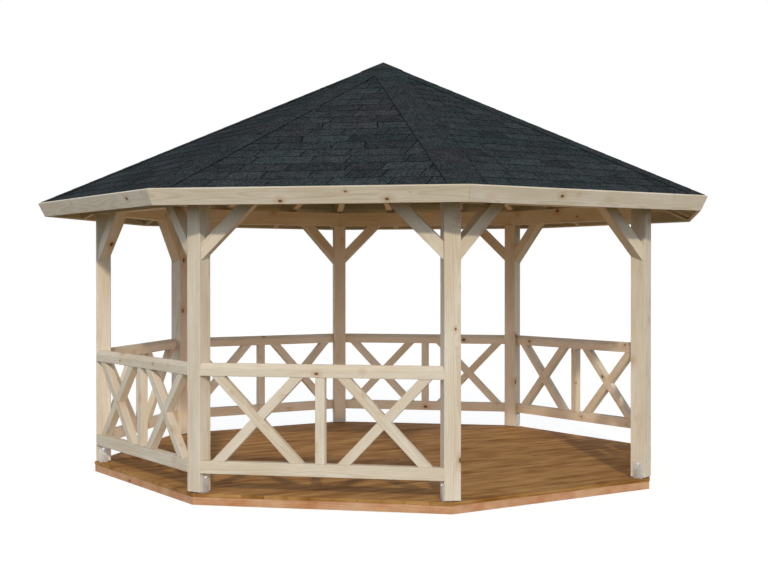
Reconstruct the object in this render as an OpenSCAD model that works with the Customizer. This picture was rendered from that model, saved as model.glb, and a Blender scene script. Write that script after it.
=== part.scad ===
// Eight-sided open garden gazebo: a timber deck, eight posts in steel shoes, a ring of
// wall plates with knee braces, seven crossed railings and a shingled tent roof.
// The entrance side has no railing and faces -Y. The origin is on the ground, at the
// middle of the deck.

/* [Deck] */
// Distance that the deck runs out past the outer face of each post
deck_margin = 15; // [5:5:60]
// Thickness of the deck boards
deck_board_t = 24; // [18:1:40]
// Height of the frame under the deck boards
deck_frame_h = 60; // [40:5:120]
// Width of the frame's rim and bearers
deck_frame_w = 70; // [50:5:100]
// Distance that the deck boards run out past the frame
deck_nosing = 4; // [0:1:20]
// Distance from bearer to bearer
bearer_pitch = 500; // [300:10:700]

/* [Posts] */
// Width of each square post
post_w = 120; // [90:5:150]
// Chamfer on each long edge of a post
post_arris = 3; // [1:1:6]
// Distance from the middle of the gazebo to the middle of each post
post_ring_r = 2405; // [2000:5:3000]
// Length of a post, from its shoe to the wall plate
post_l = 2070; // [1800:10:2600]

/* [Post shoes] */
// Air gap between the shoe's base plate and the end grain of the post
shoe_air = 5; // [2:1:40]
// Thickness of the shoe's steel
shoe_t = 4; // [3:1:8]
// Width of the shoe
shoe_w = 70; // [50:5:90]
// Height of the shoe's side flanges above the deck
shoe_h = 129; // [110:1:135]
// Diameter of the bolt through the post
shoe_bolt_d = 12; // [8:1:16]
// Diameter of the bolt's round head
bolt_head_d = 26; // [18:1:34]
// Height of the bolt's round head
bolt_head_h = 7; // [4:1:10]
// Distance from the flange's top edge to the middle of the bolt
bolt_edge = 17; // [15:1:30]

/* [Railings] */
// Height of the hand rail's top above the deck
hand_rail_top = 941; // [800:1:1150]
// Height of the hand rail's section
hand_rail_h = 94; // [70:2:120]
// Depth of both rails, through the wall
rail_d = 70; // [50:5:90]
// Height of the two bevels on top of the hand rail
rail_bevel_h = 33; // [10:1:40]
// Width of each of those bevels
rail_bevel_w = 20; // [5:1:25]
// Height of the open gap under the bottom rail
rail_gap = 146; // [140:1:250]
// Height of the bottom rail's section
bottom_rail_h = 90; // [70:5:120]
// Width of the stile in the middle of a railing
stile_w = 70; // [50:5:100]
// Width of each bar of the crosses
cross_bar_w = 70; // [45:5:90]
// Open gap at each end of a cross, to the stile on one side and to the post on the other
cross_gap = 86; // [10:1:120]
// Depth of the stile and the cross bars
infill_d = 60; // [40:5:70]

/* [Wall plates and braces] */
// Width of the wall plates, through the wall
plate_w = 120; // [90:5:150]
// Height of the wall plates
plate_h = 140; // [100:5:200]
// Height of a brace on its post, and its reach along the wall plate
brace_reach = 403; // [250:1:500]
// Width of a brace's face
brace_w = 90; // [60:5:110]
// Depth of a brace, through the wall
brace_d = 90; // [40:5:100]
// Distance from the wall's outer face back to the brace
brace_setback = 15; // [0:1:30]

/* [Roof frame] */
// Slope of the roof, in degrees
roof_pitch = 25; // [18:1:35]
// Distance from the wall's outer face out to the top edge of the eaves
eave_overhang = 415; // [250:5:600]
// Width of the rafters
rafter_w = 60; // [45:5:80]
// Depth of the jack rafters, square to the roof
rafter_h = 120; // [110:5:160]
// Depth of the hip rafters, square to their own slope
hip_h = 130; // [115:5:180]
// Depth cut off the underside of the rafter tails
tail_cut = 26; // [24:1:40]
// Depth of the rafters' seat, below the wall plate's top edge
seat_cut = 22; // [10:1:24]
// Jack rafters on each side of the roof
jacks_per_side = 2; // [1:1:3]
// Distance across the faces of the crown block
crown_w = 160; // [150:5:220]
// Height of the crown block
crown_h = 200; // [160:10:300]

/* [Roof covering] */
// Thickness of the roof boarding
roof_board_t = 20; // [16:1:28]
// Thickness of the shingles
shingle_t = 6; // [3:1:10]
// Thickness of the fascia boards
fascia_t = 24; // [18:1:35]
// Width of each of the two leaves of a hip cap, in plan
hip_cap_w = 140; // [90:5:180]
// Thickness of the hip caps
hip_cap_t = 4; // [3:1:6]
// Distance from the middle of the roof to a corner of the apex cap
apex_cap_r = 200; // [150:5:300]
// Thickness of the apex cap
apex_cap_t = 4; // [3:1:6]

/* [Hidden] */
// Clearance left at each butt joint in the timber
fit_gap = 0.2;
// Clearance left open at each mitre of the fascia
mitre_gap = 0.8;
// Clearance round a bolt
bolt_gap = 0.5;

SIDES = ["front", "front_right", "right", "back_right", "back", "back_left", "left", "front_left"];
POSTS = ["front_right", "right_front", "right_back", "back_right",
         "back_left", "left_back", "left_front", "front_left"];
side_count = 8;
turn = 360 / side_count;
half_turn = turn / 2;

// Heights from the ground up
deck_top = deck_frame_h + deck_board_t;
post_foot = deck_top + shoe_t + shoe_air;
plate_bottom = post_foot + post_l;
plate_top = plate_bottom + plate_h;
bolt_z = deck_top + shoe_h - bolt_edge;

// Distances out from the middle: of the deck's corners, and of the wall's outer face
deck_corner_r = post_ring_r + post_w / 2 + deck_margin;
post_face_r = post_ring_r + post_w / 2;
wall_o = post_face_r * cos(half_turn) + post_w / 2 * sin(half_turn);

// Half the length of a side between its posts, at the wall's outer face, and what that
// leaves for the width over both ends of a cross
bay_x = (wall_o * sin(half_turn) - post_w / 2) / cos(half_turn);
cross_w = bay_x - stile_w / 2 - 2 * cross_gap;

// The roof's top surface is a plane on each side. Its outer edge lies eave_o out and
// eave_z up, and roof_z gives its height, o out and d below it, square to the slope.
eave_o = wall_o + eave_overhang;
covering_t = shingle_t + roof_board_t;
rafter_foot = covering_t + rafter_h;
fascia_h = rafter_foot - tail_cut;
eave_z = plate_top - seat_cut + rafter_foot / cos(roof_pitch) - eave_overhang * tan(roof_pitch);
function roof_z(o, d = 0) = eave_z + (eave_o - o) * tan(roof_pitch) - d / cos(roof_pitch);

// The same along a hip, r out from the middle
hip_slope = atan(tan(roof_pitch) * cos(half_turn));
hip_drop = rafter_w / 2 * sin(half_turn) * tan(roof_pitch) + fit_gap;
function hip_z(r, d = 0) = roof_z(r * cos(half_turn), covering_t) - hip_drop - d / cos(hip_slope);
function hip_seat_r() = (hip_z(0, hip_h) - plate_top) / tan(hip_slope);

roof_slope_l = eave_o / cos(roof_pitch);
reach = 2 * eave_o;

// Turns a shape drawn on the entrance side, whose outside is -Y, to side i
module on_side(i) {
    rotate([0, 0, i * turn]) children();
}

// Turns a shape drawn at a post straight in front, at -Y, to the post after side i
module on_post(i) {
    rotate([0, 0, i * turn + half_turn]) children();
}

// Lays a shape on the slope of side i: x along the eaves, y up the slope from the top
// edge of the eaves, z square to the roof's top surface
module on_slope(i) {
    on_side(i) translate([0, -eave_o, eave_z]) rotate([roof_pitch, 0, 0]) children();
}

// The upright wedge of space that side i takes, set in by a gap from the lines through
// the posts on both of its ends
module side_wedge(i, gap = 0) {
    apex = -gap / sin(half_turn);
    spread = reach * tan(half_turn);
    on_side(i) linear_extrude(2 * reach)
        polygon([[0, apex], [-spread, apex - reach], [spread, apex - reach]]);
}

// A flat sheet on the slope of side i, from depth low to high and from y up to the ridge
module slope_sheet(i, y, low, high) {
    on_slope(i) translate([-reach / 2, y, low]) cube([reach, roof_slope_l - y, high - low]);
}

// Eight rim boards, mitred at the corners, with bearers butted between them
module deck_frame() {
    rim_r = deck_corner_r - deck_nosing / cos(half_turn);
    rim_o = rim_r * cos(half_turn);
    bearer_r = rim_r - (deck_frame_w + fit_gap) / cos(half_turn);
    bearer_n = floor((bearer_r - deck_frame_w) / bearer_pitch);
    color("peru") {
        for (i = [0 : side_count - 1]) intersection() {
            side_wedge(i, fit_gap / 2);
            on_side(i) translate([-reach / 2, -rim_o, 0]) cube([reach, deck_frame_w, deck_frame_h]);
        }
        intersection() {
            rotate([0, 0, half_turn]) cylinder(h = deck_frame_h, r = bearer_r, $fn = side_count);
            for (k = [-bearer_n : bearer_n])
                translate([k * bearer_pitch - deck_frame_w / 2, -reach, 0])
                    cube([deck_frame_w, 2 * reach, deck_frame_h]);
        }
    }
}

module deck_boards() {
    color("sienna") translate([0, 0, deck_frame_h]) rotate([0, 0, half_turn])
        cylinder(h = deck_board_t, r = deck_corner_r, $fn = side_count);
}

// A hole across a post, at the shoe's bolt
module bolt_hole(d, l) {
    translate([-l / 2, -post_ring_r, bolt_z]) rotate([0, 90, 0]) cylinder(h = l, d = d, $fn = 32);
}

module post_shoes() {
    flange_x = post_w / 2 + fit_gap;
    hole_d = shoe_bolt_d + 2 * bolt_gap;
    color("silver") for (i = [0 : side_count - 1]) on_post(i) difference() {
        translate([0, -post_ring_r - shoe_w / 2, deck_top]) {
            translate([-flange_x - shoe_t, 0, 0]) cube([2 * (flange_x + shoe_t), shoe_w, shoe_t]);
            for (x = [-flange_x - shoe_t, flange_x]) translate([x, 0, 0]) cube([shoe_t, shoe_w, shoe_h]);
        }
        bolt_hole(hole_d, post_w + 4 * shoe_t);
    }
}

module shoe_bolts() {
    shank_l = post_w + 2 * (fit_gap + shoe_t);
    color("silver") for (i = [0 : side_count - 1]) on_post(i) {
        bolt_hole(shoe_bolt_d, shank_l);
        for (s = [-1, 1]) translate([s * (shank_l + bolt_head_h) / 2, 0, 0])
            bolt_hole(bolt_head_d, bolt_head_h);
    }
}

module post(i) {
    a = post_w / 2;
    c = post_arris;
    color("wheat") on_post(i) difference() {
        translate([0, -post_ring_r, post_foot]) linear_extrude(post_l)
            polygon([[-a + c, -a], [a - c, -a], [a, -a + c], [a, a - c],
                     [a - c, a], [-a + c, a], [-a, a - c], [-a, -a + c]]);
        bolt_hole(shoe_bolt_d + 2 * bolt_gap, 2 * post_w);
    }
}

module wall_plate(i) {
    color("wheat") intersection() {
        side_wedge(i, fit_gap / 2);
        on_side(i) translate([-reach / 2, -wall_o, plate_bottom]) cube([reach, plate_w, plate_h]);
    }
}

// The right-hand brace of a side, before its ends are cut
module brace_blank() {
    o = wall_o - brace_setback;
    foot_x = bay_x - brace_setback * tan(half_turn);
    foot_z = plate_bottom - brace_reach;
    run = post_w;
    rise = brace_w / cos(45);
    translate([0, -o + brace_d, 0]) rotate([90, 0, 0]) linear_extrude(brace_d)
        polygon([[foot_x + run, foot_z - run],
                 [foot_x + run, foot_z - run + rise],
                 [foot_x - brace_reach + rise - run, plate_bottom + run],
                 [foot_x - brace_reach - run, plate_bottom + run]]);
}

module knee_braces() {
    color("wheat") for (i = [0 : side_count - 1]) intersection() {
        side_wedge(i, post_w / 2 + fit_gap);
        on_side(i) intersection() {
            translate([-reach, -reach, 0]) cube([2 * reach, 2 * reach, plate_bottom - fit_gap]);
            union() {
                brace_blank();
                mirror([1, 0, 0]) brace_blank();
            }
        }
    }
}

// Slope of a bar whose cut ends together span cross_w, found by repeated correction
function cross_angle(h, angle = 45, n = 12) =
    n == 0 ? angle : cross_angle(h, atan2(h, cross_w - cross_bar_w / sin(angle)), n - 1);

// One bar of a cross, rising to the right from low to high, with its long edges moved
// out by a margin
module cross_bar(low, high, margin = 0) {
    angle = cross_angle(high - low);
    out = margin / sin(angle);
    cut = cross_bar_w / sin(angle);
    polygon([[-cross_w / 2 - out, low], [cut - cross_w / 2 + out, low],
             [cross_w / 2 + out, high], [cross_w / 2 - cut - out, high]]);
}

// A cross: one bar runs through, and the other butts against it in two halves
module cross(low, high) {
    mirror([1, 0]) cross_bar(low, high);
    difference() {
        cross_bar(low, high);
        mirror([1, 0]) cross_bar(low, high, fit_gap);
    }
}

module railing(i) {
    top = deck_top + hand_rail_top;
    under = top - hand_rail_h;
    bottom = deck_top + rail_gap;
    sill = bottom + bottom_rail_h;
    cross_x = (stile_w / 2 + bay_x) / 2;
    color("wheat") intersection() {
        side_wedge(i, post_w / 2 + fit_gap);
        on_side(i) translate([0, -wall_o, 0]) {
            translate([-reach / 2, 0, 0]) rotate([90, 0, 90]) linear_extrude(reach)
                polygon([[0, under], [rail_d, under], [rail_d, top - rail_bevel_h],
                         [rail_d - rail_bevel_w, top], [rail_bevel_w, top], [0, top - rail_bevel_h]]);
            translate([-reach / 2, 0, bottom]) cube([reach, rail_d, bottom_rail_h]);
            translate([0, (rail_d + infill_d) / 2, 0]) rotate([90, 0, 0]) linear_extrude(infill_d) {
                translate([-stile_w / 2, sill + fit_gap]) square([stile_w, under - sill - 2 * fit_gap]);
                for (x = [-cross_x, cross_x])
                    translate([x, 0]) cross(sill + fit_gap, under - fit_gap);
            }
        }
    }
}

module crown_block() {
    corner_r = crown_w / 2 / cos(half_turn);
    top = roof_z(corner_r, covering_t) - fit_gap;
    color("wheat") translate([0, 0, top - crown_h]) cylinder(h = crown_h, r = corner_r, $fn = side_count);
}

// Cuts off what lies outside the inner face of the fascia on side i
module outside_fascia(i) {
    on_slope(i) translate([-reach, fascia_t + fit_gap - reach, -reach]) cube([2 * reach, reach, 2 * reach]);
}

module hip_rafters() {
    inner = crown_w / 2 + fit_gap;
    outer = eave_o / cos(half_turn);
    heel = wall_o / cos(half_turn);
    tail = hip_z(heel) - (roof_z(wall_o, fascia_h) + fit_gap);
    color("wheat") for (i = [0 : side_count - 1]) difference() {
        on_post(i) translate([-rafter_w / 2, 0, 0]) rotate([90, 0, 90]) linear_extrude(rafter_w)
            polygon([[-inner, hip_z(inner)], [-outer, hip_z(outer)], [-outer, hip_z(outer) - tail],
                     [-heel, hip_z(heel) - tail], [-heel, plate_top], [-hip_seat_r(), plate_top],
                     [-inner, hip_z(inner, hip_h)]]);
        outside_fascia(i);
        outside_fascia(i + 1);
    }
}

module jack_rafters() {
    eave_side = 2 * eave_o * tan(half_turn);
    seat_o = wall_o - seat_cut / tan(roof_pitch);
    color("wheat") for (i = [0 : side_count - 1], k = [1 : jacks_per_side]) difference() {
        intersection() {
            side_wedge(i, rafter_w / 2 + fit_gap);
            on_side(i) translate([eave_side * (k / (jacks_per_side + 1) - 0.5) - rafter_w / 2, 0, 0])
                rotate([90, 0, 90]) linear_extrude(rafter_w)
                    polygon([[0, roof_z(0, covering_t)], [-eave_o, roof_z(eave_o, covering_t)],
                             [-eave_o, roof_z(eave_o, fascia_h)], [-wall_o, roof_z(wall_o, fascia_h)],
                             [-wall_o, plate_top], [-seat_o, plate_top], [0, roof_z(0, rafter_foot)]]);
        }
        outside_fascia(i);
    }
}

module fascia_boards() {
    color("wheat") for (i = [0 : side_count - 1]) intersection() {
        side_wedge(i, mitre_gap / 2);
        on_slope(i) translate([-reach / 2, 0, -fascia_h]) cube([reach, fascia_t, fascia_h]);
    }
}

module roof_boards(i) {
    color("tan") intersection() {
        side_wedge(i, fit_gap / 2);
        slope_sheet(i, fascia_t + fit_gap, -covering_t, -shingle_t);
    }
}

module roof_shingles() {
    color("darkslategray") for (i = [0 : side_count - 1]) intersection() {
        side_wedge(i, mitre_gap);
        slope_sheet(i, fascia_t + fit_gap, -shingle_t, 0);
    }
}

// One leaf of a hip cap in plan: the strip beside the right-hand hip of the front side.
// It laps the hip by a hair, to join the other leaf, and stops short of the middle of
// the side, where it would meet the leaf that comes from the next hip.
module hip_leaf() {
    mid = mitre_gap;
    function strip_x(o, d) = (o * sin(half_turn) - d) / cos(half_turn);
    function strip_o(d) = (d + mid * cos(half_turn)) / sin(half_turn);
    linear_extrude(2 * reach)
        polygon([[mid, -strip_o(-fit_gap)], [strip_x(reach, -fit_gap), -reach],
                 [strip_x(reach, hip_cap_w), -reach], [mid, -strip_o(hip_cap_w)]]);
}

module hip_caps() {
    color("darkslategray") for (i = [0 : side_count - 1]) union() {
        intersection() {
            on_side(i) hip_leaf();
            slope_sheet(i, fascia_t + fit_gap, 0, hip_cap_t);
        }
        intersection() {
            on_side(i + 1) mirror([1, 0, 0]) hip_leaf();
            slope_sheet(i + 1, fascia_t + fit_gap, 0, hip_cap_t);
        }
    }
}

// Each facet of the cap laps the hip by a hair, to join the next one
module apex_cap() {
    color("darkslategray") intersection() {
        rotate([0, 0, half_turn]) cylinder(h = 2 * reach, r = apex_cap_r, $fn = side_count);
        union() for (i = [0 : side_count - 1]) intersection() {
            side_wedge(i, -fit_gap);
            slope_sheet(i, fascia_t, hip_cap_t, hip_cap_t + apex_cap_t);
        }
    }
}

deck_frame();
deck_boards();
post_shoes();
shoe_bolts();
for (i = [0 : side_count - 1]) {
    post(i);
    wall_plate(i);
    roof_boards(i);
}
for (i = [1 : side_count - 1])
    railing(i);
knee_braces();
crown_block();
hip_rafters();
jack_rafters();
fascia_boards();
roof_shingles();
hip_caps();
apex_cap();
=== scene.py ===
import math
import random

import bmesh
import bpy
from mathutils import Matrix, Vector


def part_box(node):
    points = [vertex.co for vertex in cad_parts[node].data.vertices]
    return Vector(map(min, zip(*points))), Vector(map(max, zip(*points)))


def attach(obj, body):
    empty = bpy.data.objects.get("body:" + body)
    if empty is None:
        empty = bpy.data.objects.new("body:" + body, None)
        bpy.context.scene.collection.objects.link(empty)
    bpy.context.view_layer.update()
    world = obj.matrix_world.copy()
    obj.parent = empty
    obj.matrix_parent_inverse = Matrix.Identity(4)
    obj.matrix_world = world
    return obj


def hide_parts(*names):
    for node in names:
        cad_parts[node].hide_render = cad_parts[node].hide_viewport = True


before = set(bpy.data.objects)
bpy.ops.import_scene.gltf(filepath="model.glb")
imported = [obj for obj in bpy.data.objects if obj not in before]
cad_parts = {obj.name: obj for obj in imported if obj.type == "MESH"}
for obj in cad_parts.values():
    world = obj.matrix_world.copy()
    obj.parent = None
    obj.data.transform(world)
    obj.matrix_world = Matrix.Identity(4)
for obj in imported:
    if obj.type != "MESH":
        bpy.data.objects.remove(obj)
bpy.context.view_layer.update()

# ---------------------------------------------------------------------------------------
# Deck frame. Sawn larch, 70 by 60 mm, laid flat on the ground: eight rim timbers mitred
# at the corners, and bearers butted between them. The arrises are lightly planed.
# ---------------------------------------------------------------------------------------
SIDES = ("front", "front_right", "right", "back_right", "back", "back_left", "left", "front_left")
TURN = math.radians(45)


def pick(*pieces):
    """Selects these pieces and nothing else, and makes the first one active."""
    bpy.ops.object.select_all(action="DESELECT")
    for piece in pieces:
        piece.select_set(True)
    bpy.context.view_layer.objects.active = pieces[0]
    return pieces[0]


def join(name, pieces):
    """Makes one piece of several."""
    piece = pick(*pieces)
    if len(pieces) > 1:
        bpy.ops.object.join()
    piece.name = name
    piece.data.name = name
    return piece


def cut_to_size(name, *nodes):
    """A copy of CAD pieces as one mesh, merged and with each flat face whole."""
    copies = []
    for node in nodes:
        copies.append(bpy.data.objects.new(name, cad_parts[node].data.copy()))
        bpy.context.scene.collection.objects.link(copies[-1])
    piece = join(name, copies)
    piece.data.materials.clear()
    bpy.ops.mesh.customdata_custom_splitnormals_clear()
    bpy.ops.object.mode_set(mode="EDIT")
    bpy.ops.mesh.select_all(action="SELECT")
    bpy.ops.mesh.remove_doubles(threshold=0.00002)
    bpy.ops.mesh.dissolve_limited(angle_limit=math.radians(1))
    bpy.ops.object.mode_set(mode="OBJECT")
    return piece


def ease(piece, width, segments=2):
    """Rounds the edges of a piece, as a plane or a router does."""
    pick(piece)
    bevel = piece.modifiers.new("eased_edges", "BEVEL")
    bevel.width = width
    bevel.segments = segments
    bevel.limit_method = "ANGLE"
    bevel.angle_limit = math.radians(25)
    bpy.ops.object.modifier_apply(modifier=bevel.name)


def islands(mesh):
    """The separate timbers, sheets or tabs in a bmesh, as lists of vertices."""
    found = []
    seen = set()
    for first in mesh.verts:
        if first in seen:
            continue
        seen.add(first)
        group = [first]
        for vert in group:
            for edge in vert.link_edges:
                other = edge.other_vert(vert)
                if other not in seen:
                    seen.add(other)
                    group.append(other)
        found.append(group)
    return found


def set_grain(piece, seed):
    """Gives each timber sawn coordinates: along its length, then across it both ways.

    Each starts at its own place in the log, so that no two timbers look alike."""
    chance = random.Random(seed)
    mesh = bmesh.new()
    mesh.from_mesh(piece.data)
    sawn = mesh.verts.layers.float_vector.new("sawn")
    for stick in islands(mesh):
        edges = [edge for vert in stick for edge in vert.link_edges]
        faces = [face for vert in stick for face in vert.link_faces]
        longest = max(edges, key=lambda edge: round(edge.calc_length(), 4))
        along = (longest.verts[1].co - longest.verts[0].co).normalized()
        broad = max(faces, key=lambda face: round(face.calc_area(), 5)).normal
        across = along.cross(broad).normalized()
        middle = sum((vert.co for vert in stick), Vector()) / len(stick)
        start = chance.uniform(0, 90)
        heart = Vector((chance.uniform(-0.1, 0.1), chance.uniform(0.03, 0.12)))
        for vert in stick:
            place = vert.co - middle
            depth = place.dot(broad)
            vert[sawn] = (place.dot(along) + start, place.dot(across) + heart.x, depth + heart.y)
    mesh.to_mesh(piece.data)
    mesh.free()


def fix(piece, slot, material, *nodes):
    """Gives a piece its finish, and fixes it to the gazebo in place of CAD pieces."""
    piece.data.materials.clear()
    piece.data.materials.append(material)
    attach(piece, "root")
    if nodes:
        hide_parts(*nodes)


def linear(code):
    """A linear colour from an sRGB hex value."""
    parts = [int(code[k:k + 2], 16) / 255 for k in (1, 3, 5)]
    return [p / 12.92 if p <= 0.04045 else ((p + 0.055) / 1.055) ** 2.4 for p in parts] + [1]


def add(tree, kind, inputs, **settings):
    """Adds a shader node with its settings. An input is a value or another node's output."""
    node = tree.nodes.new("ShaderNode" + kind)
    for name, value in settings.items():
        setattr(node, name, value)
    for name, value in inputs.items():
        if isinstance(value, bpy.types.NodeSocket):
            tree.links.new(value, node.inputs[name])
        else:
            node.inputs[name].default_value = value
    return node


def planed_timber(name, early, late, stain, knot, ring, contrast, mottle, roughness, shine, knot_share):
    """Planed softwood, sawn from the log: pale early wood, darker late wood lines that
    sweep round the knots, fine fibres, and a tone that differs from timber to timber."""
    material = bpy.data.materials.new(name)
    material.use_nodes = True
    tree = material.node_tree
    tree.nodes.clear()
    sawn = add(tree, "Attribute", {}, attribute_name="sawn").outputs["Vector"]

    # Knots: sparse cores, a little longer along the grain, in cells of about 0.15 by 0.1 m
    cells = add(tree, "Mapping", {"Vector": sawn, "Scale": (6.5, 9.5, 9.5)}, vector_type="POINT")
    knots = add(tree, "TexVoronoi", {"Vector": cells.outputs[0], "Scale": 1.0}, feature="F1")
    chosen = add(tree, "SeparateColor", {"Color": knots.outputs["Color"]})
    kept = add(tree, "Math", {0: chosen.outputs[0], 1: knot_share}, operation="LESS_THAN")
    size = add(tree, "MapRange", {"Value": chosen.outputs[1], "To Min": 0.05, "To Max": 0.18})
    core = add(tree, "Math", {0: knots.outputs["Distance"], 1: size.outputs[0]}, operation="DIVIDE")
    swirl = add(tree, "MapRange", {"Value": core.outputs[0], "From Min": 0.6, "From Max": 4.0,
                                   "To Min": 1.0, "To Max": 0.0}, interpolation_type="SMOOTHSTEP")
    swirl_on = add(tree, "Math", {0: swirl.outputs[0], 1: kept.outputs[0]}, operation="MULTIPLY")
    body = add(tree, "MapRange", {"Value": core.outputs[0], "From Min": 0.75, "From Max": 1.05,
                                  "To Min": 1.0, "To Max": 0.0})
    knot_on = add(tree, "Math", {0: body.outputs[0], 1: kept.outputs[0]}, operation="MULTIPLY")

    # Growth rings round the heart, which wander along the trunk and part round a knot
    wander = add(tree, "Mapping", {"Vector": sawn, "Scale": (1.1, 5, 5)})
    bend = add(tree, "TexNoise", {"Vector": wander.outputs[0], "Scale": 1.0, "Detail": 2.0})
    axes = add(tree, "SeparateXYZ", {"Vector": sawn})
    section = add(tree, "CombineXYZ", {"Y": axes.outputs[1], "Z": axes.outputs[2]})
    radius = add(tree, "VectorMath", {0: section.outputs[0]}, operation="LENGTH")
    bent = add(tree, "Math", {0: bend.outputs[0], 1: 0.032, 2: radius.outputs["Value"]},
               operation="MULTIPLY_ADD")
    parted = add(tree, "Math", {0: swirl_on.outputs[0], 1: 0.016, 2: bent.outputs[0]},
                 operation="MULTIPLY_ADD")
    turns = add(tree, "Math", {0: parted.outputs[0], 1: ring}, operation="DIVIDE")
    phase = add(tree, "Math", {0: turns.outputs[0]}, operation="FRACT")
    late_wood = add(tree, "MapRange", {"Value": phase.outputs[0], "From Min": 0.35,
                                       "From Max": 0.95, "To Min": 0.0, "To Max": contrast},
                    interpolation_type="SMOOTHSTEP")

    # Fibres 2 mm wide, and the broad tone that differs from one timber to the next
    strands = add(tree, "Mapping", {"Vector": sawn, "Scale": (7, 420, 420)})
    fibre = add(tree, "TexNoise", {"Vector": strands.outputs[0], "Scale": 1.0, "Detail": 3.0})
    patches = add(tree, "Mapping", {"Vector": sawn, "Scale": (mottle, 7, 7)})
    tone = add(tree, "TexNoise", {"Vector": patches.outputs[0], "Scale": 1.0, "Detail": 3.0})

    wood = add(tree, "Mix", {0: late_wood.outputs[0], 6: linear(early), 7: linear(late)},
               data_type="RGBA")
    toned = add(tree, "MapRange", {"Value": tone.outputs[0], "From Min": 0.32, "From Max": 0.72})
    stained = add(tree, "Mix", {0: toned.outputs[0], 6: wood.outputs[2], 7: linear(stain)},
                  data_type="RGBA", blend_type="MULTIPLY")
    shade = add(tree, "MapRange", {"Value": fibre.outputs[0], "From Min": 0.3, "From Max": 0.7,
                                   "To Min": 0.87, "To Max": 1.08})
    fibred = add(tree, "VectorMath", {0: stained.outputs[2], "Scale": shade.outputs[0]},
                 operation="SCALE")
    heart = add(tree, "MapRange", {"Value": core.outputs[0], "From Max": 0.9, "To Min": 0.45,
                                   "To Max": 1.0})
    knot_wood = add(tree, "VectorMath", {0: linear(knot)[:3], "Scale": heart.outputs[0]},
                    operation="SCALE")
    # Resin warms the wood round a knot
    resin = add(tree, "Math", {0: swirl_on.outputs[0], 1: 0.4}, operation="MULTIPLY")
    warmed = add(tree, "Mix", {0: resin.outputs[0], 6: fibred.outputs[0], 7: linear("#dcb184")},
                 data_type="RGBA", blend_type="MULTIPLY")
    coloured = add(tree, "Mix", {0: knot_on.outputs[0], 6: warmed.outputs[2], 7: knot_wood.outputs[0]},
                   data_type="RGBA")

    # Late wood stands a little proud of the planed face
    relief = add(tree, "Math", {0: late_wood.outputs[0], 1: 0.6, 2: fibre.outputs[0]},
                 operation="MULTIPLY_ADD")
    bump = add(tree, "Bump", {"Height": relief.outputs[0], "Strength": 0.25, "Distance": 0.0006})
    shader = add(tree, "BsdfPrincipled", {"Base Color": coloured.outputs[2], "Roughness": roughness,
                                          "Specular IOR Level": shine, "Normal": bump.outputs[0]})
    add(tree, "OutputMaterial", {"Surface": shader.outputs[0]})
    return material


# Larch, oiled once: a warm light brown, with rings a little darker
oiled_larch = planed_timber("oiled_larch", early="#d6ad8a", late="#b5835c", stain="#e2c3a6",
                            knot="#6b4526", ring=0.011, contrast=0.5, mottle=6,
                            roughness=0.6, shine=0.15, knot_share=0.2)
deck_frame_timbers = cut_to_size("deck_frame_timbers", "deck_frame")
ease(deck_frame_timbers, width=0.002)
set_grain(deck_frame_timbers, seed=11)
fix(deck_frame_timbers, "deck_timber", oiled_larch, "deck_frame")

# ---------------------------------------------------------------------------------------
# Deck boards. Larch boards, 24 mm thick, stained brown. They run parallel to the open
# side, with a narrow gap between them, and are sawn off to the deck's eight sides.
# ---------------------------------------------------------------------------------------
DECK_BOARD_W = 0.118
DECK_BOARD_GAP = 0.004
# Heights and places nearer than this count as the same
NEAR = 0.001


def timber(name, low, high):
    """A squared timber between two corners."""
    low, high = Vector(low), Vector(high)
    bpy.ops.object.select_all(action="DESELECT")
    bpy.ops.mesh.primitive_cube_add(size=1, location=(low + high) / 2)
    piece = bpy.context.object
    piece.name = name
    piece.scale = high - low
    bpy.ops.object.transform_apply()
    return piece


def select_edges(piece, test):
    """Opens a piece in edit mode with only the edges that pass a test selected."""
    pick(piece)
    bpy.ops.object.mode_set(mode="EDIT")
    bpy.ops.mesh.select_mode(type="EDGE")
    bpy.ops.mesh.select_all(action="DESELECT")
    mesh = bmesh.from_edit_mesh(piece.data)
    for edge in mesh.edges:
        if test(*[vert.co for vert in edge.verts]):
            edge.select = True
    mesh.select_flush_mode()
    bmesh.update_edit_mesh(piece.data)


def repeat(piece, count, step):
    """Lays copies of a piece side by side, as one mesh."""
    pick(piece)
    array = piece.modifiers.new("repeat", "ARRAY")
    array.count = count
    array.use_relative_offset = False
    array.use_constant_offset = True
    array.constant_offset_displace = step
    bpy.ops.object.modifier_apply(modifier=array.name)


def saw(piece, point, normal):
    """Saws off all that lies beyond a plane."""
    pick(piece)
    bpy.ops.object.mode_set(mode="EDIT")
    bpy.ops.mesh.select_all(action="SELECT")
    bpy.ops.mesh.bisect(plane_co=point, plane_no=normal, use_fill=True, clear_outer=True)
    bpy.ops.object.mode_set(mode="OBJECT")


def outward(turns):
    """The level direction that looks out of a side, so many eighths of a turn round."""
    return Vector((math.sin(turns * TURN), -math.cos(turns * TURN), 0))


deck_low, deck_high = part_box("deck_boards")
deck_out = deck_high.y
board_count = round(2 * deck_out / (DECK_BOARD_W + DECK_BOARD_GAP))
board_step = 2 * deck_out / board_count
deck_planks = timber("deck_planks", (deck_low.x, -deck_out, deck_low.z),
                     (deck_high.x, -deck_out + board_step - DECK_BOARD_GAP, deck_high.z))
select_edges(deck_planks, lambda a, b: min(a.z, b.z) > deck_low.z + NEAR)
bpy.ops.mesh.bevel(offset=0.003, segments=2)
bpy.ops.object.mode_set(mode="OBJECT")
repeat(deck_planks, board_count, (0, board_step, 0))
for corner_side in (1, 3, 5, 7):
    saw(deck_planks, outward(corner_side) * deck_out, outward(corner_side))
set_grain(deck_planks, seed=12)

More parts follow.
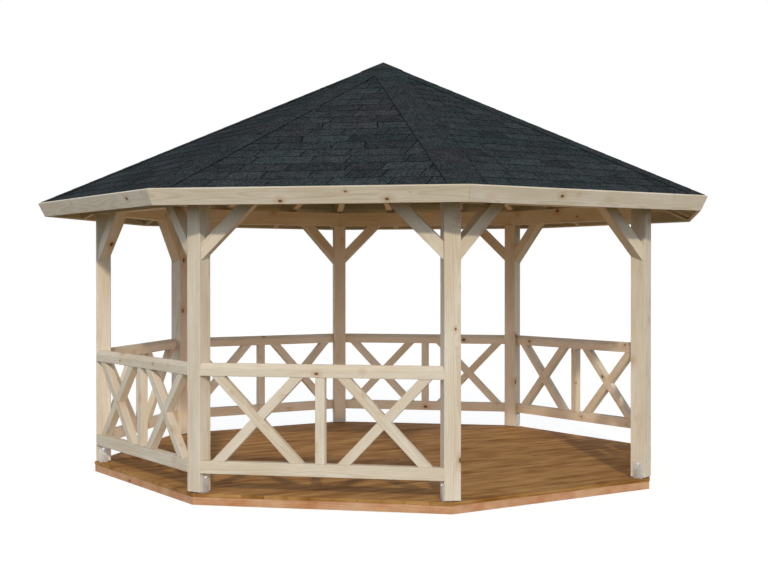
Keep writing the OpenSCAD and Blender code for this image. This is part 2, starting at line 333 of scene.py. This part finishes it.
# Brown stain over larch: the late wood lines show through, and boards differ in tone
stained_larch = planed_timber("stained_larch", early="#c69a5f", late="#8e673a", stain="#b59c75",
                              knot="#4a3019", ring=0.012, contrast=0.5, mottle=2.5,
                              roughness=0.7, shine=0.08, knot_share=0.15)
fix(deck_planks, "deck_timber", stained_larch, "deck_boards")

# ---------------------------------------------------------------------------------------
# Post shoes. U-shaped brackets of 4 mm steel plate, hot dip galvanised, which hold each
# post clear of the deck. A bolt with a domed cap and a washer on each end goes through.
# ---------------------------------------------------------------------------------------
POSTS = ("front_right", "right_front", "right_back", "back_right",
         "back_left", "left_back", "left_front", "front_left")
POST_W = 0.120
SHOE_T = 0.004
FIT_GAP = 0.0002
BOLT_R = 0.006
WASHER_R = 0.013
WASHER_T = 0.002
CAP_R = 0.0105
CAP_H = 0.005
CAP_ROUND = 0.0042


def turn_into_place(piece, angle):
    """Turns a finished piece round the middle of the gazebo."""
    pick(piece)
    piece.rotation_euler.z = angle
    bpy.ops.object.transform_apply()


def ring_of(piece, name, angles):
    """Copies a piece, made where angle 0 has it, to each of these angles."""
    made = []
    for angle in angles:
        pick(piece)
        bpy.ops.object.duplicate()
        made.append(bpy.context.object)
        turn_into_place(made[-1], angle)
    bpy.data.objects.remove(piece)
    return join(name, made)


def rod(radius, length, place, sides=24):
    """A round bar along X with its middle at a place."""
    bpy.ops.object.select_all(action="DESELECT")
    bpy.ops.mesh.primitive_cylinder_add(vertices=sides, radius=radius, depth=length, location=place,
                                        rotation=(0, math.pi / 2, 0))
    bpy.ops.object.transform_apply()
    return bpy.context.object


shoe_brackets = cut_to_size("shoe_brackets", "post_shoes")
ease(shoe_brackets, width=0.0012)

post_angles = [TURN * (k + 0.5) for k in range(8)]
post_low, post_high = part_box("post_front_right")
post_middle = (post_low + post_high) / 2
post_out = math.hypot(post_middle.x, post_middle.y)
bolt_low, bolt_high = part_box("shoe_bolts")
bolt_z = (bolt_low.z + bolt_high.z) / 2
bolt_half = POST_W / 2 + FIT_GAP + SHOE_T
bolt_parts = [rod(BOLT_R, 2 * bolt_half, (0, -post_out, bolt_z), sides=12)]
for end in (-1, 1):
    washer = rod(WASHER_R, WASHER_T, (end * (bolt_half + WASHER_T / 2), -post_out, bolt_z))
    ease(washer, width=0.0004, segments=1)
    cap_x = end * (bolt_half + WASHER_T + CAP_H / 2)
    cap = rod(CAP_R, CAP_H, (cap_x, -post_out, bolt_z))
    select_edges(cap, lambda a, b: abs(a.x) > abs(cap_x) and abs(b.x) > abs(cap_x))
    bpy.ops.mesh.bevel(offset=CAP_ROUND, segments=4)
    bpy.ops.object.mode_set(mode="OBJECT")
    bolt_parts += [washer, cap]
cap_bolts = ring_of(join("cap_bolts", bolt_parts), "cap_bolts", post_angles)
for piece in (shoe_brackets, cap_bolts):
    pick(piece)
    bpy.ops.object.shade_smooth_by_angle(angle=math.radians(35))


def zinc_skin(name, dark, light, grains, metal, smooth, rough):
    """Zinc on steel: silver grains, each with a tone and a dullness of its own."""
    material = bpy.data.materials.new(name)
    material.use_nodes = True
    tree = material.node_tree
    tree.nodes.clear()
    place = add(tree, "TexCoord", {}).outputs["Object"]
    spangle = add(tree, "TexVoronoi", {"Vector": place, "Scale": grains}, feature="F1")
    grain = add(tree, "SeparateColor", {"Color": spangle.outputs["Color"]})
    zinc = add(tree, "Mix", {0: grain.outputs[0], 6: linear(dark), 7: linear(light)}, data_type="RGBA")
    dull = add(tree, "MapRange", {"Value": grain.outputs[1], "To Min": smooth, "To Max": rough})
    shader = add(tree, "BsdfPrincipled", {"Base Color": zinc.outputs[2], "Metallic": metal,
                                          "Roughness": dull.outputs[0]})
    add(tree, "OutputMaterial", {"Surface": shader.outputs[0]})
    return material


# Hot dip galvanised steel, weathered to a pale dull grey, in grains of about 12 mm
galvanised_steel = zinc_skin("galvanised_steel", dark="#c0bfbc", light="#d2d1cf", grains=85,
                             metal=0.3, smooth=0.45, rough=0.6)
# Bright zinc plating, fine and smooth, which glints on the domed caps
bright_zinc = zinc_skin("bright_zinc", dark="#e4e6e8", light="#f4f5f6", grains=900, metal=1.0,
                        smooth=0.22, rough=0.32)
fix(shoe_brackets, "galvanised_steel", galvanised_steel, "post_shoes")
fix(cap_bolts, "galvanised_steel", bright_zinc, "shoe_bolts")

# ---------------------------------------------------------------------------------------
# Posts. Eight square spruce posts of 120 mm, planed on all faces and left bare. Each is
# bored through at its foot for the shoe's bolt.
# ---------------------------------------------------------------------------------------
# Bare planed spruce: pale cream, fine rings, small brown knots, and hardly any shine
bare_spruce = planed_timber("bare_spruce", early="#e3dacc", late="#cbbb9f", stain="#efe8de",
                            knot="#846849", ring=0.006, contrast=0.42, mottle=1.5,
                            roughness=0.85, shine=0.08, knot_share=0.27)
for k, name in enumerate(POSTS):
    post = cut_to_size(name + "_post", "post_" + name)
    ease(post, width=0.0012)
    set_grain(post, seed=20 + k)
    fix(post, "pine", bare_spruce, "post_" + name)

# ---------------------------------------------------------------------------------------
# Wall plates. A ring of eight spruce beams on the posts, mitred over each post, and two
# knee braces under each beam, mitred at both ends and screwed to the post and the beam.
# ---------------------------------------------------------------------------------------
for k, name in enumerate(SIDES):
    beam = cut_to_size(name + "_wall_beam", "wall_plate_" + name)
    ease(beam, width=0.002)
    set_grain(beam, seed=30 + k)
    fix(beam, "pine", bare_spruce, "wall_plate_" + name)

brace_timbers = cut_to_size("brace_timbers", "knee_braces")
ease(brace_timbers, width=0.003)
set_grain(brace_timbers, seed=40)
fix(brace_timbers, "pine", bare_spruce, "knee_braces")

# ---------------------------------------------------------------------------------------
# Railings. Spruce rails between the posts on the seven closed sides. The hand rail is
# bevelled to shed rain. A stile in the middle parts two crosses of bars, half-lapped.
# ---------------------------------------------------------------------------------------
ROUGH_RAIL_L = 2.0
RAIL_D = 0.070
HAND_RAIL_H = 0.094
RAIL_BEVEL_H = 0.033
RAIL_BEVEL_W = 0.020
BOTTOM_RAIL_H = 0.090
STILE_W = 0.070
BAR_W = 0.070
ROUGH_BAR_L = 1.4
INFILL_D = 0.060
CROSS_GAP = 0.086
LEAN_TRIES = 12
JOINT = 0.0003

rail_low, rail_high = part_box("railing_back")
rail_out = rail_high.y
bay_x = rail_high.x
sill = rail_low.z + BOTTOM_RAIL_H
under = rail_high.z - HAND_RAIL_H
infill_y = -rail_out + RAIL_D / 2


def to_the_posts(piece):
    """Saws both ends of a rail to the faces of the posts."""
    for end in (-1, 1):
        face = Matrix.Rotation(end * TURN / 2, 3, "Z") @ Vector((end, 0, 0))
        saw(piece, (end * bay_x, -rail_out, 0), face)


rail_end = ROUGH_RAIL_L / 2
hand_rail = timber("hand_rail", (-rail_end, -rail_out, under),
                   (rail_end, RAIL_D - rail_out, rail_high.z - RAIL_BEVEL_H))
select_edges(hand_rail, lambda a, b: min(a.z, b.z) > under + NEAR)
bpy.ops.mesh.select_mode(type="FACE")
bpy.ops.mesh.extrude_region_move(TRANSFORM_OT_translate={"value": (0, 0, RAIL_BEVEL_H)})
bpy.ops.transform.resize(value=(1, 1 - 2 * RAIL_BEVEL_W / RAIL_D, 1))
bpy.ops.object.mode_set(mode="OBJECT")
to_the_posts(hand_rail)
ease(hand_rail, width=0.004, segments=3)

bottom_rail = timber("bottom_rail", (-rail_end, -rail_out, rail_low.z),
                     (rail_end, RAIL_D - rail_out, sill))
to_the_posts(bottom_rail)
ease(bottom_rail, width=0.003)

infill_low = infill_y - INFILL_D / 2
infill_high = infill_y + INFILL_D / 2
stile = timber("stile", (-STILE_W / 2, infill_low, sill + JOINT), (STILE_W / 2, infill_high, under - JOINT))
ease(stile, width=0.003)

# Both bars of a cross lean so that their cut ends reach the same width. A steeper bar has
# a narrower cut end, so the lean is tried again from its own result until it settles.
cross_w = bay_x - STILE_W / 2 - 2 * CROSS_GAP
lean = math.radians(45)
for _ in range(LEAN_TRIES):
    lean = math.atan2(under - sill, cross_w - BAR_W / math.sin(lean))
cross_x = (STILE_W / 2 + bay_x) / 2
cross_z = (sill + under) / 2


def cross_bar(way, wide=0.0):
    """One bar of a cross that leans one way, or the other with way = -1."""
    half = Vector((ROUGH_BAR_L / 2, INFILL_D / 2, BAR_W / 2 + wide))
    bar = timber("cross_bar", -half, half)
    bar.rotation_euler.y = -way * lean
    bar.location = (cross_x, infill_y, cross_z)
    bpy.ops.object.transform_apply()
    return bar


bars = []
for way in (-1, 1):
    bar = cross_bar(way)
    saw(bar, (0, 0, under - JOINT), (0, 0, 1))
    saw(bar, (0, 0, sill + JOINT), (0, 0, -1))
    ease(bar, width=0.003)
    # The half that the other bar takes: the outer half of one, the inner half of the other
    notch = cross_bar(-way, wide=JOINT)
    notch.location.y = -way * (INFILL_D / 2 - JOINT)
    pick(notch)
    bpy.ops.object.transform_apply()
    pick(bar)
    lap = bar.modifiers.new("half_lap", "BOOLEAN")
    lap.object = notch
    lap.operation = "DIFFERENCE"
    bpy.ops.object.modifier_apply(modifier=lap.name)
    bpy.data.objects.remove(notch)
    bars.append(bar)
cross = join("cross", bars)
pick(cross)
bpy.ops.object.duplicate()
other_cross = bpy.context.object
other_cross.location.x = -2 * cross_x
bpy.ops.object.transform_apply()
railing = join("railing", [hand_rail, bottom_rail, stile, cross, other_cross])

for k, name in enumerate(SIDES[1:]):
    pick(railing)
    bpy.ops.object.duplicate()
    side_railing = bpy.context.object
    side_railing.name = name + "_rails"
    turn_into_place(side_railing, (k + 1) * TURN)
    set_grain(side_railing, seed=50 + k)
    fix(side_railing, "pine", bare_spruce, "railing_" + name)
bpy.data.objects.remove(railing)

# ---------------------------------------------------------------------------------------
# Roof frame. Spruce rafters 60 mm wide: eight hips that lean on an eight-sided crown
# block, and two jacks a side that die into them. All rafters have a seat cut for the plate.
# ---------------------------------------------------------------------------------------
for k, (name, node) in enumerate((("crown", "crown_block"), ("hip_timbers", "hip_rafters"),
                                  ("jack_timbers", "jack_rafters"))):
    roof_timber = cut_to_size(name, node)
    ease(roof_timber, width=0.002)
    set_grain(roof_timber, seed=60 + k)
    fix(roof_timber, "pine", bare_spruce, node)

# ---------------------------------------------------------------------------------------
# Fascia. Eight planed spruce boards, 24 by 120 mm, screwed to the rafters' tails, square
# to the slope, so that they lean in at the foot. Their ends are mitred.
# ---------------------------------------------------------------------------------------
fascia = cut_to_size("fascia", "fascia_boards")
ease(fascia, width=0.002)
set_grain(fascia, seed=70)
fix(fascia, "pine", bare_spruce, "fascia_boards")

# ---------------------------------------------------------------------------------------
# Roof boarding. Tongue and groove spruce, 20 mm thick, nailed across the rafters from
# the eaves up. From below each joint shows as a fine V groove.
# ---------------------------------------------------------------------------------------
ROOF_PITCH = math.radians(25)
ROOF_BOARD_W = 0.096
ROOF_BOARD_T = 0.020
ROOF_BOARD_GAP = 0.0004
V_GROOVE = 0.004
FASCIA_T = 0.0242
SHINGLE_T = 0.006
# Half the length that boards and underlay are cut to, before they are sawn to the hips
ROUGH_HALF = 1.3

eave_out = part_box("fascia_boards")[1].y
covering_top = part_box("roof_shingles")[1].z
slope_l = eave_out / math.cos(ROOF_PITCH)
# The top of the shingles is a plane on each side, whose edge is the fascia's top corner
eave_z = covering_top - math.tan(ROOF_PITCH) * eave_out
on_front = Matrix.Translation((0, -eave_out, eave_z)) @ Matrix.Rotation(ROOF_PITCH, 4, "X")


def lay_on_front(piece):
    """Moves a piece made flat, x along the eaves and y up the slope, onto the front."""
    pick(piece)
    piece.matrix_world = on_front
    bpy.ops.object.transform_apply()


def saw_to_hips(piece, gap):
    """Saws a covering of the front side to both of its hips."""
    for end in (-1, 1):
        hip_face = Matrix.Rotation(end * TURN / 2, 3, "Z") @ Vector((end, 0, 0))
        saw(piece, -gap * hip_face, hip_face)


courses_up = math.ceil((slope_l - FASCIA_T) / ROOF_BOARD_W)
boarding_base = -SHINGLE_T - ROOF_BOARD_T
boarding = timber("boarding", (-ROUGH_HALF, FASCIA_T, boarding_base),
                  (ROUGH_HALF, FASCIA_T + ROOF_BOARD_W - ROOF_BOARD_GAP, -SHINGLE_T))
select_edges(boarding, lambda a, b: max(a.z, b.z) < boarding_base + NEAR and abs(a.y - b.y) < NEAR)
bpy.ops.mesh.bevel(offset=V_GROOVE, segments=1)
bpy.ops.object.mode_set(mode="OBJECT")
repeat(boarding, courses_up, (0, ROOF_BOARD_W, 0))
lay_on_front(boarding)
saw_to_hips(boarding, FIT_GAP)

# The same spruce, painted darker and warmer for the boards that go overhead, as painted shade and warm
# light thrown up from the deck under the roof
shaded_roof_spruce = planed_timber("shaded_roof_spruce", early="#d0c8b0", late="#b2a98a", stain="#e2d3b6",
                            knot="#5d4228", ring=0.009, contrast=0.45, mottle=1.5,
                            roughness=0.85, shine=0.05, knot_share=0.4)
for k, name in enumerate(SIDES):
    pick(boarding)
    bpy.ops.object.duplicate()
    side_boarding = bpy.context.object
    side_boarding.name = name + "_boarding"
    turn_into_place(side_boarding, k * TURN)
    set_grain(side_boarding, seed=80 + k)
    fix(side_boarding, "roof_boarding", shaded_roof_spruce, "roof_boards_" + name)
bpy.data.objects.remove(boarding)

# ---------------------------------------------------------------------------------------
# Shingles. Bitumen felt strips faced with charcoal slate granules, nailed in courses from
# the eaves up. The slots between their tabs are slanted, most of them the same way.
# ---------------------------------------------------------------------------------------
COURSES = 20
TAB_WIDTHS = (0.26, 0.34, 0.43)
TAB_SLANT = 0.026
SLANT_SHARE = 0.8
TAB_SLOT = 0.009
TAB_T = 0.0028
TAB_LAP = 0.02
HEAD_LIFT = 0.0005
UNDERLAY_T = 0.0004
PAST_TOP = 0.1
BELOW_SLATE = -0.02
HIP_CLEARANCE = 0.0008

underlay = timber("underlay", (-ROUGH_HALF, FASCIA_T, -SHINGLE_T),
                  (ROUGH_HALF, slope_l + PAST_TOP, UNDERLAY_T - SHINGLE_T))
lay_on_front(underlay)
saw_to_hips(underlay, HIP_CLEARANCE)
bitumen_underlay = ring_of(underlay, "bitumen_underlay", [TURN * k for k in range(8)])
# It has no slate on it, so it is marked as lower than the foot of every tab
for mark in bitumen_underlay.data.attributes.new("laid", "FLOAT_VECTOR", "POINT").data:
    mark.vector = (BELOW_SLATE, 0, 0)


def tab(left, right, lean_left, lean_right, foot, height):
    """One tab, lying flat: its foot rides on the course below, and its head on the boards."""
    piece = timber("tab", (left, foot, -TAB_T), (right, foot + height + TAB_LAP, 0))
    for vert in piece.data.vertices:
        high = vert.co.y > foot + NEAR
        is_left = vert.co.x < (left + right) / 2
        if high:
            vert.co.z -= SHINGLE_T - TAB_T - HEAD_LIFT
            vert.co.x += lean_left if is_left else lean_right
    return piece


chance = random.Random(7)
course_h = (slope_l - FASCIA_T) / COURSES
tabs = []
for course in range(COURSES):
    foot = FASCIA_T + course * course_h
    half_w = (slope_l - foot) / slope_l * eave_out * math.tan(TURN / 2)
    # Each course starts its own way past the hip, so that the slots of two don't line up
    left = -half_w - chance.uniform(0.05, 0.3)
    lean_left = TAB_SLANT
    while left < half_w:
        right = left + chance.choice(TAB_WIDTHS)
        lean_right = TAB_SLANT if chance.random() < SLANT_SHARE else -TAB_SLANT
        tabs.append(tab(left + TAB_SLOT / 2, right - TAB_SLOT / 2, lean_left, lean_right, foot, course_h))
        left = right
        lean_left = lean_right
front_tabs = join("front_tabs", tabs)


def mark_tabs(piece, seed):
    """Notes on each flat tab how far up it a point lies, and a tone of the tab's own."""
    shade = random.Random(seed)
    mesh = bmesh.new()
    mesh.from_mesh(piece.data)
    laid = mesh.verts.layers.float_vector.new("laid")
    for sheet in islands(mesh):
        feet = min(vert.co.y for vert in sheet)
        tone = shade.random()
        tint = shade.random()
        for vert in sheet:
            vert[laid] = (vert.co.y - feet, tone, tint)
    mesh.to_mesh(piece.data)
    mesh.free()


sides_tabs = []
for k in range(8):
    pick(front_tabs)
    bpy.ops.object.duplicate()
    side_tabs = bpy.context.object
    mark_tabs(side_tabs, seed=90 + k)
    lay_on_front(side_tabs)
    saw_to_hips(side_tabs, HIP_CLEARANCE)
    turn_into_place(side_tabs, k * TURN)
    sides_tabs.append(side_tabs)
bpy.data.objects.remove(front_tabs)
shingle_tabs = join("shingle_tabs", sides_tabs + [bitumen_underlay])


def slate_felt(name, dark, light, slated, bare):
    """Bitumen felt with a face of crushed slate: near black, matt and gritty, in broad
    drifts of purple and green slate. Where "laid" goes from slated to bare, it turns to a
    dark line: plain bitumen on the bare underlay and the cut edges, and painted shade on
    the slate next to those edges, where one course or leaf steps over the felt below."""
    material = bpy.data.materials.new(name)
    material.use_nodes = True
    tree = material.node_tree
    tree.nodes.clear()
    place = add(tree, "TexCoord", {}).outputs["Object"]
    laid = add(tree, "Attribute", {}, attribute_name="laid")
    marks = add(tree, "SeparateXYZ", {"Vector": laid.outputs["Vector"]})

    # Granules of 2 mm, drawn at about 9 mm so that they show from a few metres
    grit = add(tree, "TexVoronoi", {"Vector": place, "Scale": 110.0}, feature="F1")
    grit_tone = add(tree, "SeparateColor", {"Color": grit.outputs["Color"]})
    stone = add(tree, "Mix", {0: grit_tone.outputs[0], 6: linear("#222628"), 7: linear("#474c4f")},
                data_type="RGBA")

    # Each tab's own tone, and streaks where granules were shed or pressed in
    tone = add(tree, "MapRange", {"Value": marks.outputs[1], "To Min": dark, "To Max": light})
    shed = add(tree, "TexNoise", {"Vector": place, "Scale": 9.0, "Detail": 5.0, "Roughness": 0.7})
    patch = add(tree, "MapRange", {"Value": shed.outputs[0], "From Min": 0.32, "From Max": 0.68,
                                   "To Min": 0.8, "To Max": 1.2})
    level = add(tree, "Math", {0: tone.outputs[0], 1: patch.outputs[0]}, operation="MULTIPLY")
    toned = add(tree, "VectorMath", {0: stone.outputs[2], "Scale": level.outputs[0]}, operation="SCALE")

    # Purple and green slate, mixed by the batch, so that it drifts over about 0.7 m
    drift = add(tree, "TexNoise", {"Vector": place, "Scale": 1.5, "Detail": 3.0})
    batch = add(tree, "Math", {0: marks.outputs[2], 1: 0.25, 2: drift.outputs[0]},
                operation="MULTIPLY_ADD")
    side = add(tree, "MapRange", {"Value": batch.outputs[0], "From Min": 0.45, "From Max": 0.8})
    tint = add(tree, "Mix", {0: side.outputs[0], 6: linear("#f4dfe9"), 7: linear("#d8f0ec")},
               data_type="RGBA")
    tinted = add(tree, "Mix", {0: 0.45, 6: toned.outputs[0], 7: tint.outputs[2]},
                 data_type="RGBA", blend_type="MULTIPLY")
    # Plain bitumen, and painted shade on the slate just inside it: a dark line where "laid" passes from
    # slated to bare
    bitumen_shade_line = add(tree, "MapRange", {"Value": marks.outputs[0], "From Min": slated, "From Max": bare})
    with_bitumen_shade_line = add(tree, "Mix", {0: bitumen_shade_line.outputs[0], 6: tinted.outputs[2], 7: linear("#0b0d0f")},
                data_type="RGBA")
    bump = add(tree, "Bump", {"Height": grit.outputs["Distance"], "Strength": 0.4, "Distance": 0.003})
    shader = add(tree, "BsdfPrincipled", {"Base Color": with_bitumen_shade_line.outputs[2], "Roughness": 0.95,
                                          "Specular IOR Level": 0.0, "Normal": bump.outputs[0]})
    add(tree, "OutputMaterial", {"Surface": shader.outputs[0]})
    return material


# Each tab darkens towards its foot, over its last 8 mm and its cut edge: painted shade where the course
# steps over the one below, and the bitumen of the cut edge
shingle_felt = slate_felt("slated_felt_shingles", dark=0.8, light=1.22, slated=0.008, bare=-0.005)
fix(shingle_tabs, "bitumen_shingle", shingle_felt, "roof_shingles")

# ---------------------------------------------------------------------------------------
# Hip caps. Strips of the same felt bent over each hip, each lapping the one below, and
# an eight-sided cap of it, folded and welded, over the middle of the roof.
# ---------------------------------------------------------------------------------------
HIP_LEAF_W = 0.140
HIP_CAP_T = 0.004
HIP_CAPS_UP = 21
THIN_HEAD = 0.6
APEX_GAP = 0.0004
APEX_STOP = 0.02
# A leaf is made wider than it ends up, from here to here across the hip, and sawn
LEAF_LOW = -0.2
LEAF_HIGH = 0.25

# A leaf lies on the front side, along its right-hand hip
hip_foot = Vector((eave_out * math.tan(TURN / 2), 0, 0))
hip_top = Vector((0, slope_l, 0))
hip_l = (hip_top - hip_foot).length
cap_step = hip_l / HIP_CAPS_UP
leaf = timber("leaf", (0, LEAF_LOW, 0), (cap_step + TAB_LAP, LEAF_HIGH, HIP_CAP_T))
for vert in leaf.data.vertices:
    if vert.co.z > HIP_CAP_T / 2 and vert.co.x > cap_step / 2:
        vert.co.z = HIP_CAP_T * THIN_HEAD
repeat(leaf, HIP_CAPS_UP, (cap_step, 0, 0))
mark_tabs(leaf, seed=98)
along_hip = (on_front @ Matrix.Translation(hip_foot)
             @ Matrix.Rotation(math.atan2(slope_l, -hip_foot.x), 4, "Z"))
leaf.matrix_world = along_hip
pick(leaf)
bpy.ops.object.transform_apply()
# Turned back by half a side, the hip lies over -Y and both leaves mirror each other
turn_into_place(leaf, -TURN / 2)
# Sawn along the hip, to its width, at the middle line of the side and flush with the fascia
saw(leaf, (0, 0, 0), (1, 0, 0))
saw(leaf, (-HIP_LEAF_W, 0, 0), (-1, 0, 0))
side_middle = -TURN / 2 - math.pi / 2
saw(leaf, (0, 0, 0), (math.sin(side_middle), -math.cos(side_middle), 0))
fascia_face = Matrix.Rotation(-TURN / 2, 3, "Z") @ (on_front.to_3x3() @ Vector((0, -1, 0)))
fascia_point = Matrix.Rotation(-TURN / 2, 3, "Z") @ (on_front @ Vector((0, FASCIA_T, 0)))
saw(leaf, fascia_point, fascia_face)
# It stops just short of the middle of the roof, under the apex cap
saw(leaf, (0, -APEX_STOP, 0), (0, 1, 0))
mirror = leaf.modifiers.new("other_leaf", "MIRROR")
mirror.use_axis = (True, False, False)
mirror.merge_threshold = 0.0003
pick(leaf)
bpy.ops.object.modifier_apply(modifier=mirror.name)
hip_felt = ring_of(leaf, "hip_felt", post_angles)

apex_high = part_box("apex_cap")[1]
apex_h = apex_high.y * math.tan(ROOF_PITCH)
bpy.ops.object.select_all(action="DESELECT")
bpy.ops.mesh.primitive_cone_add(vertices=8, radius1=apex_high.y / math.cos(TURN / 2), depth=apex_h,
                                end_fill_type="NOTHING", location=(0, 0, apex_high.z - apex_h / 2),
                                rotation=(0, 0, TURN / 2))
apex_felt = bpy.context.object
apex_felt.name = "apex_felt"
bpy.ops.object.transform_apply()
folded = apex_felt.modifiers.new("thickness", "SOLIDIFY")
folded.thickness = HIP_CAP_T - APEX_GAP
folded.offset = -1
bpy.ops.object.modifier_apply(modifier=folded.name)

# Each leaf's long edge lies where its width, measured level, has come out on the slope
across = Matrix.Rotation(-TURN / 2, 3, "Z") @ along_hip.to_3x3() @ Vector((0, 1, 0))
leaf_edge = HIP_LEAF_W / abs(across.x) - LEAF_LOW
# Each leaf darkens over its last 8 mm to its long cut edge: painted shade where the leaf steps over the
# felt beside it, and the bitumen of the cut edge
cap_felt = slate_felt("slated_felt_caps", dark=0.92, light=1.04,
                      slated=leaf_edge - 0.008, bare=leaf_edge + 0.002)
fix(hip_felt, "bitumen_shingle", cap_felt, "hip_caps")
fix(apex_felt, "bitumen_shingle", cap_felt, "apex_cap")

# ---------------------------------------------------------------------------------------
# Setting. A pale floor, a low soft sun from the front left, light all round that is
# brighter near the horizon, and the camera at eye height, left of the open side.
# ---------------------------------------------------------------------------------------
camera = bpy.data.objects.new("camera", bpy.data.cameras.new("camera"))
bpy.context.scene.collection.objects.link(camera)
camera.data.sensor_width = 36
camera.data.lens = 60.34
camera.data.shift_y = -0.01035
view_side = math.radians(-33.75)
view_distance = 11.325
camera.location = (math.sin(view_side) * view_distance, -math.cos(view_side) * view_distance, 1.675)
camera.rotation_euler = (math.radians(89.661), 0, math.radians(-33.783))
bpy.context.scene.camera = camera

sun = bpy.data.objects.new("sun", bpy.data.lights.new("sun", "SUN"))
bpy.context.scene.collection.objects.link(sun)
sun.data.energy = 1.8
sun.data.color = linear("#fff2dc")[:3]
sun.data.angle = math.radians(2.5)
sun_side = math.radians(-28)
sun_height = math.radians(26)
sun_way = Vector((math.sin(sun_side) * math.cos(sun_height),
                  -math.cos(sun_side) * math.cos(sun_height), math.sin(sun_height)))
sun.rotation_euler = sun_way.to_track_quat("Z", "Y").to_euler()


def in_view(tree):
    """1 for the rays that show the setting itself, plainly or in metal, and 0 for light."""
    rays = add(tree, "LightPath", {}).outputs
    plain = add(tree, "Math", {0: rays["Is Camera Ray"], 1: rays["Is Glossy Ray"]}, operation="MAXIMUM")
    both = add(tree, "Math", {0: plain.outputs[0], 1: rays["Is Transmission Ray"]}, operation="MAXIMUM")
    return both.outputs[0]


# The warm light that a sunny deck throws up under the roof
deck_glow = bpy.data.objects.new("deck_glow", bpy.data.lights.new("deck_glow", "AREA"))
bpy.context.scene.collection.objects.link(deck_glow)
deck_glow.data.shape = "DISK"
deck_glow.data.size = 4.6
deck_glow.data.energy = 22
deck_glow.data.color = (1.0, 0.67, 0.41)
deck_glow.location = (0, 0, 0.12)
deck_glow.rotation_euler = (math.pi, 0, 0)
deck_glow.visible_camera = False

world = bpy.data.worlds.new("studio")
bpy.context.scene.world = world
world.use_nodes = True
tree = world.node_tree
tree.nodes.clear()
way = add(tree, "SeparateXYZ", {"Vector": add(tree, "TexCoord", {}).outputs["Generated"]})
haze = add(tree, "MapRange", {"Value": way.outputs[2], "From Min": 0.2, "From Max": 0.65,
                              "To Min": 1.3, "To Max": 0.4}, interpolation_type="SMOOTHSTEP")
soft_light = add(tree, "Background", {"Color": (0.9, 1.0, 1.12, 1), "Strength": haze.outputs[0]})
white = add(tree, "Background", {"Color": (1, 1, 1, 1), "Strength": 1.0})
shown = add(tree, "MixShader", {0: in_view(tree), 1: soft_light.outputs[0], 2: white.outputs[0]})
add(tree, "OutputWorld", {"Surface": shown.outputs[0]})

bpy.ops.object.select_all(action="DESELECT")
bpy.ops.mesh.primitive_plane_add(size=400, location=(0, 0, 0))
floor = bpy.context.object
floor.name = "floor"
pale_floor = bpy.data.materials.new("pale_floor")
pale_floor.use_nodes = True
tree = pale_floor.node_tree
tree.nodes.clear()
shown = in_view(tree)
cover = add(tree, "Mix", {0: shown, 6: (0.17, 0.15, 0.09, 1), 7: (0.85, 0.85, 0.85, 1)},
            data_type="RGBA")
matt = add(tree, "BsdfDiffuse", {"Color": cover.outputs[2]})
glow = add(tree, "Emission", {"Color": (1, 1, 1, 1), "Strength": 1.16})
# Nothing glows inside a circle that is a little smaller than the deck, because the gaps
# between the deck boards would show it
GLOW_STRIP = 0.05
from_middle = add(tree, "VectorMath", {0: add(tree, "TexCoord", {}).outputs["Object"]}, operation="LENGTH")
open_floor = add(tree, "Math", {0: from_middle.outputs["Value"], 1: deck_out - GLOW_STRIP},
                 operation="GREATER_THAN")
lit = add(tree, "Math", {0: shown, 1: open_floor.outputs[0]}, operation="MULTIPLY")
share = add(tree, "Math", {0: lit.outputs[0], 1: 0.75}, operation="MULTIPLY")
floor_shader = add(tree, "MixShader", {0: share.outputs[0], 1: matt.outputs[0], 2: glow.outputs[0]})
add(tree, "OutputMaterial", {"Surface": floor_shader.outputs[0]})
floor.data.materials.append(pale_floor)

bpy.context.scene.view_settings.view_transform = "Standard"
